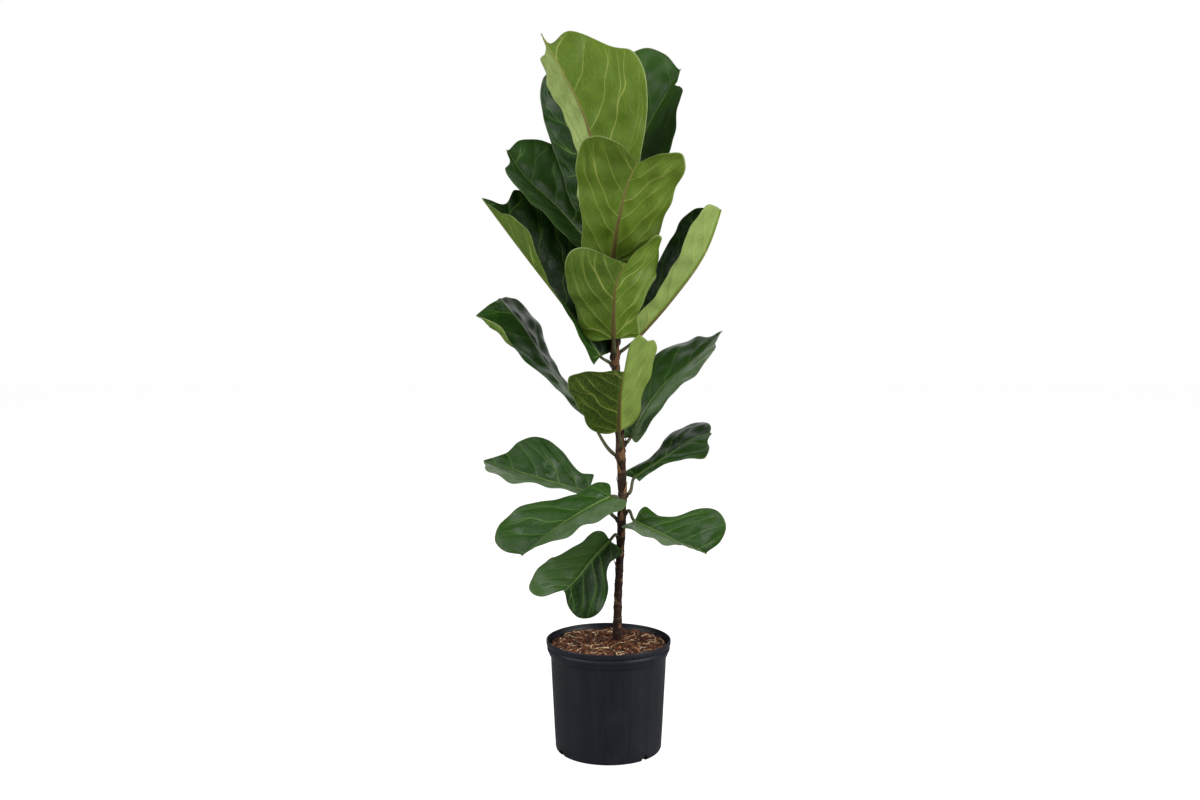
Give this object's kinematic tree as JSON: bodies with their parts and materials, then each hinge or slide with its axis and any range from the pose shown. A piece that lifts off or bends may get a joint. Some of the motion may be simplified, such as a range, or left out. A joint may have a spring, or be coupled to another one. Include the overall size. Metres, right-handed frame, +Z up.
{
  "type": "potted fiddle leaf fig",
  "caption": "Upright potted fiddle leaf fig with a bare woody lower stem and large violin-shaped leaves, in a round black plastic nursery pot.",
  "frame": {"origin": "the middle of the pot's flat base, on the ground", "axes": "+Z up along the pot's axis, -Y towards the plant's front, where the pale undersides of its front leaves show, +X to the right seen from the front"},
  "size_m": [0.5001, 0.4586, 1.446],
  "materials": {
    "pot_plastic": "satin",
    "bark_mix": "matte",
    "stem_bark": "matte",
    "bud_sheath": "matte",
    "leaf_blade": "satin"
  },
  "bodies": {
    "root": {"leaf_01_top_front": "leaf_blade", "leaf_02_top_back": "leaf_blade", "leaf_03_top_left": "leaf_blade", "leaf_04_left_upper": "leaf_blade", "leaf_05_front_upper": "leaf_blade", "leaf_06_left": "leaf_blade", "leaf_07_front_middle": "leaf_blade", "leaf_08_right": "leaf_blade", "leaf_09_left_middle": "leaf_blade", "leaf_10_front_lower": "leaf_blade", "leaf_11_right_middle": "leaf_blade", "leaf_12_right_lower": "leaf_blade", "leaf_13_left_lower": "leaf_blade", "leaf_14_left_low_front": "leaf_blade", "leaf_15_right_lowest": "leaf_blade", "leaf_16_lowest": "leaf_blade", "leaf_17_back_upper": "leaf_blade", "leaf_18_back_middle": "leaf_blade", "leaf_19_back_lower": "leaf_blade", "pot": "pot_plastic", "potting_mix": "bark_mix", "stem": "stem_bark", "terminal_bud": "bud_sheath"}
  },
  "joints": []
}
